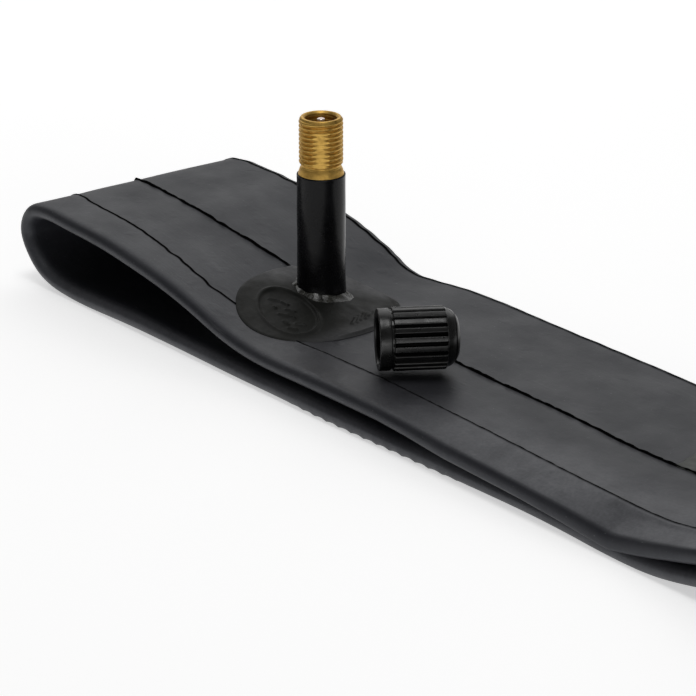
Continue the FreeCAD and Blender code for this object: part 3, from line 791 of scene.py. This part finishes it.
def make_cap(material):
    """The dust cap: a collar, a ribbed grip, a smooth nose and a threaded bore."""
    profile = rounded_profile([
        (4.35, 0.0, 0.12),
        (5.2, 0.0, 0.18),
        (5.2, 1.95, 0.12),
        (4.92, 2.0, 0.06),
        (4.92, 2.4, 0.06),
        (5.3, 2.45, 0.15),
        (5.3, 11.2, 0.15),
        (4.98, 11.3, 0.1),
        (4.75, 12.0, 0.3),
        (4.35, 12.6, 0.4),
        (3.3, 13.4, 0.5),
        (1.6, 13.62, 0.6),
        (0.02, 13.62, 0),
        (0.02, 9.5, 0),
        (3.9, 9.5, 0.2),
        (3.97, 0.5, 0.1),
    ])
    profile = divided(profile, 0.45)

    def rib(r, z, angle):
        grip = smooth_step(z, 2.3, 2.6) * (1 - smooth_step(z, 11.1, 11.3)) * (r > CAP_WALL)
        phase = np.mod(angle * CAP_RIBS / (2 * math.pi), 1.0)
        groove = 1 - smooth_step(np.abs(phase - 0.5), 0.12, 0.24)
        inside = (r < 4.2) & (z < 9.3) & (z > 0.6)
        turns = 0.22 * thread_profile(z, angle, THREAD_PITCH)
        return np.where(inside, r - turns, r - RIB_DEPTH * groove * grip), z

    segments = CAP_RIBS * 16
    cap = turned(
        "dust_cap", profile, segments, cap_place(), ["valve_cap"], "cap", material, rib
    )
    r, z, angle = spun(profile, segments)
    # Painted shade: 1 deep in the rib grooves and in the bore, stored for the material.
    cut = (r - rib(r, z, angle)[0]) / RIB_DEPTH * (r > CAP_WALL)
    bore = (r < 4.2) & (z < 13)
    store_attribute(cap, "shade", np.maximum(cut, bore))
    return cap


# ---------------------------------------------------------------- materials

class Surface:
    """A node material: a Principled shader with textures measured in millimetres on the object."""

    def __init__(self, name, **values):
        self.material = bpy.data.materials.new(name)
        self.material.use_nodes = True
        self.tree = self.material.node_tree
        self.shader = self.tree.nodes["Principled BSDF"]
        self.coordinates = self.add("ShaderNodeTexCoord").outputs["Object"]
        for socket, value in values.items():
            self.shader.inputs[socket.replace("_", " ")].default_value = value

    def add(self, kind, **settings):
        node = self.tree.nodes.new(kind)
        for key, value in settings.items():
            setattr(node, key, value)
        return node

    def link(self, source, target):
        self.tree.links.new(source, target)

    def stretched(self, factors, turn=0.0):
        """Coordinates divided by factors, turned about Z first, for marks that are longer one way."""
        node = self.add("ShaderNodeMapping")
        node.inputs["Rotation"].default_value = (0, 0, turn)
        node.inputs["Scale"].default_value = [1 / factor for factor in factors]
        self.link(self.coordinates, node.inputs["Vector"])
        return node.outputs["Vector"]

    def cloud(self, size, detail, coordinates=None):
        """Noise whose patches are about size mm across."""
        node = self.add("ShaderNodeTexNoise")
        node.inputs["Scale"].default_value = 1 / (size * MM)
        node.inputs["Detail"].default_value = detail
        node.inputs["Roughness"].default_value = 0.55
        self.link(coordinates or self.coordinates, node.inputs["Vector"])
        return node.outputs["Fac"]

    def attribute(self, name):
        node = self.add("ShaderNodeAttribute", attribute_name=name)
        return node.outputs["Fac"]

    def fit(self, value, low, high, to_low=0.0, to_high=1.0):
        """The value's stretch from low to high, mapped to another stretch."""
        node = self.add("ShaderNodeMapRange")
        node.inputs["From Min"].default_value = low
        node.inputs["From Max"].default_value = high
        node.inputs["To Min"].default_value = to_low
        node.inputs["To Max"].default_value = to_high
        self.link(value, node.inputs["Value"])
        return node.outputs["Result"]

    def math(self, operation, one, other):
        node = self.add("ShaderNodeMath", operation=operation)
        for socket, value in zip(node.inputs, (one, other)):
            if isinstance(value, (int, float)):
                socket.default_value = value
            else:
                self.link(value, socket)
        return node.outputs["Value"]

    def mix(self, factor, one, other):
        """A colour between two, each a colour socket or red, green and blue."""
        node = self.add("ShaderNodeMix", data_type="RGBA")
        self.link(factor, node.inputs["Factor"])
        for socket, value in ((node.inputs[6], one), (node.inputs[7], other)):
            if isinstance(value, tuple):
                socket.default_value = (*value, 1)
            else:
                self.link(value, socket)
        return node.outputs[2]

    def colour(self, socket):
        self.link(socket, self.shader.inputs["Base Color"])

    def roughness(self, socket):
        self.link(socket, self.shader.inputs["Roughness"])

    def bump(self, layers):
        """Surface relief: pairs of a 0 to 1 height and its depth in mm."""
        normal = None
        for height, depth in layers:
            node = self.add("ShaderNodeBump")
            node.inputs["Distance"].default_value = depth * MM
            self.link(height, node.inputs["Height"])
            if normal:
                self.link(normal, node.inputs["Normal"])
            normal = node.outputs["Normal"]
        self.link(normal, self.shader.inputs["Normal"])


def butyl_surface():
    """Dark grey butyl with mottling, dust specks and faint scratches, a painted sheen along the near side
    and the far rim, and painted shade along the seams.
    """
    s = Surface("butyl_rubber", Specular_IOR_Level=0.46)
    s.shader.inputs["Specular Tint"].default_value = (0.90, 0.93, 1.0, 1)
    broad = s.fit(s.cloud(40, 2), 0.35, 0.65)
    tint = s.mix(broad, (0.0150, 0.0155, 0.0195), (0.0185, 0.0190, 0.0230))
    mottled = s.mix(s.fit(s.cloud(11, 4), 0.40, 0.66, 0, 0.7), tint, (0.029, 0.0295, 0.034))
    # Painted sheen: the stored attribute, broken into patches by noise, paints the rubber paler.
    patchy_painted_sheen = s.math("MULTIPLY", s.attribute("painted_sheen"), s.fit(s.cloud(6, 4), 0.25, 0.62, 0.35, 1.0))
    with_painted_sheen = s.mix(patchy_painted_sheen, mottled, (0.118, 0.119, 0.128))
    grained = s.mix(s.fit(s.cloud(0.55, 2), 0.3, 0.75, 0.0, 0.3), with_painted_sheen, (0.009, 0.009, 0.010))
    long_marks = s.cloud(1.0, 2, s.stretched((14, 0.45, 14), math.radians(17)))
    marks = s.math("MULTIPLY", s.fit(long_marks, 0.66, 0.74), s.fit(s.cloud(22, 1), 0.48, 0.62))
    scratched = s.mix(s.math("MULTIPLY", marks, 0.35), grained, (0.075, 0.077, 0.08))
    specks = s.fit(s.cloud(0.42, 1), 0.735, 0.775)
    dusty = s.mix(s.math("MULTIPLY", specks, 0.5), scratched, (0.12, 0.125, 0.125))
    # Painted shade along the seams: near black, with the reflection taken away.
    seam_shade = s.fit(s.attribute("seam"), 0.2, 0.7)
    s.colour(s.mix(seam_shade, dusty, (0.0012, 0.0012, 0.0012)))
    s.link(s.fit(seam_shade, 0, 1, 0.46, 0.02), s.shader.inputs["Specular IOR Level"])
    wear = s.fit(s.cloud(8, 4), 0.3, 0.7, 0.42, 0.54)
    s.roughness(s.math("MAXIMUM", wear, s.math("MULTIPLY", seam_shade, 0.85)))
    dents = s.fit(s.cloud(5, 2), 0.60, 0.74)
    s.bump([
        (s.cloud(16, 2), 0.16),
        (dents, 0.05),
        (s.cloud(1.4, 3), 0.025),
        (s.cloud(0.3, 2), 0.011),
        (long_marks, 0.02),
    ])
    return s.material


def patch_surface():
    """The pad's slightly olive, matte rubber, with a painted sheen that makes its far and right parts paler
    and glossier.
    """
    s = Surface("patch_rubber")
    base = s.mix(s.fit(s.cloud(6, 3), 0.35, 0.65), (0.0045, 0.0050, 0.0038), (0.0100, 0.0105, 0.0085))
    # Painted sheen: paler and more reflective where the attribute is high.
    painted_sheen = s.attribute("painted_sheen")
    s.link(s.fit(painted_sheen, 0, 1, 0.18, 0.42), s.shader.inputs["Specular IOR Level"])
    with_painted_sheen = s.mix(painted_sheen, base, (0.062, 0.0625, 0.067))
    s.colour(s.mix(s.fit(s.cloud(0.6, 2), 0.4, 0.75, 0, 0.4), with_painted_sheen, (0.007, 0.007, 0.006)))
    s.roughness(s.fit(s.cloud(3, 3), 0.3, 0.7, 0.50, 0.68))
    s.bump([(s.cloud(2.2, 3), 0.06), (s.cloud(0.35, 2), 0.02)])
    return s.material


def splice_surface():
    """The splice strip's paler, greenish-grey rubber."""
    s = Surface("splice_rubber", Specular_IOR_Level=0.4)
    s.colour(s.mix(s.fit(s.cloud(3, 4), 0.35, 0.65), (0.040, 0.043, 0.037), (0.060, 0.064, 0.056)))
    s.roughness(s.fit(s.cloud(2, 3), 0.3, 0.7, 0.45, 0.62))
    s.bump([(s.cloud(1.2, 3), 0.04)])
    return s.material


def cement_surface():
    """Dried rubber cement: dark and glossy."""
    s = Surface("rubber_cement", Specular_IOR_Level=0.5)
    s.colour(s.mix(s.fit(s.cloud(1.2, 3), 0.35, 0.65), (0.006, 0.006, 0.0045), (0.032, 0.032, 0.024)))
    s.roughness(s.fit(s.cloud(0.8, 3), 0.35, 0.65, 0.14, 0.40))
    s.bump([(s.cloud(1.2, 3), 0.09), (s.cloud(0.4, 2), 0.012)])
    return s.material


def sleeve_surface():
    """Smooth black rubber with a few dust specks and rub marks."""
    s = Surface("sleeve_rubber", Specular_IOR_Level=0.16)
    base = s.mix(s.fit(s.cloud(5, 3), 0.35, 0.65), (0.0040, 0.0040, 0.0045), (0.007, 0.007, 0.008))
    specks = s.fit(s.cloud(0.35, 1), 0.74, 0.78, 0, 0.35)
    s.colour(s.mix(specks, base, (0.12, 0.12, 0.12)))
    s.roughness(s.fit(s.cloud(2.4, 4), 0.3, 0.7, 0.18, 0.30))
    s.bump([(s.cloud(2.5, 3), 0.04), (s.cloud(0.3, 2), 0.006)])
    return s.material


def brass_surface(name, warm, dull, low, high):
    """Satin machined brass with darker tarnish and fine turning marks."""
    s = Surface(name, Metallic=1.0)
    tarnish = s.fit(s.cloud(1.1, 4), 0.42, 0.72, 0, 0.75)
    s.colour(s.mix(tarnish, warm, dull))
    s.roughness(s.fit(s.cloud(0.9, 3), 0.3, 0.7, low, high))
    turning = s.cloud(1.0, 2, s.stretched((3.0, 3.0, 0.05)))
    s.bump([(turning, 0.008), (s.cloud(0.35, 2), 0.012)])
    return s.material


def steel_surface(name, bright, dark):
    s = Surface(name, Metallic=1.0)
    s.colour(s.mix(s.fit(s.cloud(0.5, 3), 0.35, 0.65), bright, dark))
    s.roughness(s.fit(s.cloud(0.4, 3), 0.3, 0.7, 0.2, 0.38))
    s.bump([(s.cloud(0.2, 2), 0.004)])
    return s.material


def seal_surface():
    s = Surface("seal_rubber", Specular_IOR_Level=0.4)
    s.colour(s.mix(s.fit(s.cloud(0.6, 3), 0.35, 0.65), (0.22, 0.04, 0.03), (0.34, 0.07, 0.05)))
    s.roughness(s.fit(s.cloud(0.5, 3), 0.3, 0.7, 0.5, 0.7))
    s.bump([(s.cloud(0.25, 2), 0.01)])
    return s.material


def cap_surface():
    """Semi-gloss black moulded plastic, with painted shade in the rib grooves and the bore."""
    s = Surface("cap_plastic")
    base = s.mix(s.fit(s.cloud(4, 3), 0.35, 0.65), (0.0025, 0.0025, 0.0023), (0.0045, 0.0045, 0.0042))
    dusty = s.mix(s.fit(s.cloud(0.4, 1), 0.73, 0.78, 0, 0.3), base, (0.12, 0.12, 0.11))
    # Painted shade: the grooves and the bore are near black, with little reflection.
    shade = s.fit(s.attribute("shade"), 0.25, 0.8)
    s.colour(s.mix(shade, dusty, (0.0008, 0.0008, 0.0008)))
    s.link(s.fit(shade, 0, 1, 0.5, 0.02), s.shader.inputs["Specular IOR Level"])
    s.roughness(s.fit(s.cloud(1.5, 4), 0.3, 0.7, 0.24, 0.38))
    s.bump([(s.cloud(0.7, 3), 0.02), (s.cloud(0.2, 2), 0.006)])
    return s.material


def floor_surface():
    s = Surface("pale_floor", Roughness=0.9, Specular_IOR_Level=0.1, Emission_Strength=0.5)
    s.shader.inputs["Emission Color"].default_value = (1, 1, 1, 1)
    s.colour(s.mix(s.fit(s.cloud(120, 2), 0.3, 0.7), (0.93, 0.93, 0.93), (0.95, 0.95, 0.95)))
    return s.material


def finish_frame_nodes():
    """Materials for the CAD nodes that stay visible: the valve core."""
    core = brass_surface("core_brass", (0.70, 0.50, 0.22), (0.38, 0.24, 0.10), 0.26, 0.42)
    steel = steel_surface("spring_steel", (0.55, 0.55, 0.56), (0.38, 0.38, 0.40))
    pin = steel_surface("pin_steel", (0.82, 0.74, 0.70), (0.62, 0.52, 0.48))
    seal = seal_surface()
    finishes = {
        "core_plug": core,
        "core_barrel": core,
        "core_cup": core,
        "core_spring": steel,
        "core_pin": pin,
        "core_gasket": seal,
        "core_seal": seal,
    }
    for node, material in finishes.items():
        slots = frame["nodes"][node].data.materials
        if len(slots) == 0:
            slots.append(material)
        for index in range(len(slots)):
            slots[index] = material


# ---------------------------------------------------------------- the studio

def make_floor():
    half = 4000.0
    mesh = bpy.data.meshes.new("floor")
    corners = [(-half, -half, 0), (half, -half, 0), (half, half, 0), (-half, half, 0)]
    mesh.from_pydata([[value * MM for value in corner] for corner in corners], [], [[0, 1, 2, 3]])
    floor = bpy.data.objects.new("floor", mesh)
    floor.location.z = -0.02 * MM
    mesh.materials.append(floor_surface())
    bpy.context.scene.collection.objects.link(floor)


def area_light(name, place, target, size, power):
    """A soft rectangular light at a place in mm, aimed at a target; size is in mm, power in watts."""
    data = bpy.data.lights.new(name, "AREA")
    data.shape = "RECTANGLE"
    data.size, data.size_y = size[0] * MM, size[1] * MM
    data.energy = power
    light = bpy.data.objects.new(name, data)
    light.location = Vector(place) * MM
    aim = Vector(target) - Vector(place)
    light.rotation_euler = aim.to_track_quat("-Z", "Y").to_euler()
    bpy.context.scene.collection.objects.link(light)


def make_lights():
    target = (VALVE_X, 0, 10)
    area_light("back_panel", (VALVE_X - 620, 520, 588), target, (1500, 890), 3.8)
    area_light("overhead", (VALVE_X + 100, -100, 1200), target, (500, 500), 3.5)
    area_light("front_strip", (VALVE_X + 620, -330, 95), target, (560, 130), 0.55)
    world = bpy.data.worlds.new("studio")
    world.use_nodes = True
    background = world.node_tree.nodes["Background"]
    background.inputs["Color"].default_value = (1, 1, 1, 1)
    background.inputs["Strength"].default_value = 0.12
    bpy.context.scene.world = world


def make_camera():
    data = bpy.data.cameras.new("camera")
    data.lens = CAMERA_LENS
    data.sensor_width = CAMERA_SENSOR
    data.clip_start = 10 * MM
    data.clip_end = 20000 * MM
    camera = bpy.data.objects.new("camera", data)
    back = Vector((
        math.sin(CAMERA_AZIMUTH) * math.cos(CAMERA_ELEVATION),
        -math.cos(CAMERA_AZIMUTH) * math.cos(CAMERA_ELEVATION),
        math.sin(CAMERA_ELEVATION),
    ))
    camera.location = (Vector(CAMERA_AIM) + back * CAMERA_DISTANCE) * MM
    camera.rotation_euler = (math.pi / 2 - CAMERA_ELEVATION, 0, CAMERA_AZIMUTH)
    bpy.context.scene.collection.objects.link(camera)
    bpy.context.scene.camera = camera


def make_object():
    ground = Ground()
    make_belt(butyl_surface())
    make_pad(ground, patch_surface())
    make_bead(ground, cement_surface())
    make_splice(ground, splice_surface())
    make_sleeve(sleeve_surface())
    make_insert(brass_surface("stem_brass", (0.70, 0.44, 0.11), (0.40, 0.22, 0.05), 0.36, 0.54))
    make_cap(cap_surface())
    finish_frame_nodes()


make_camera()
make_floor()
make_lights()
make_object()
bpy.context.scene.view_settings.view_transform = "Standard"
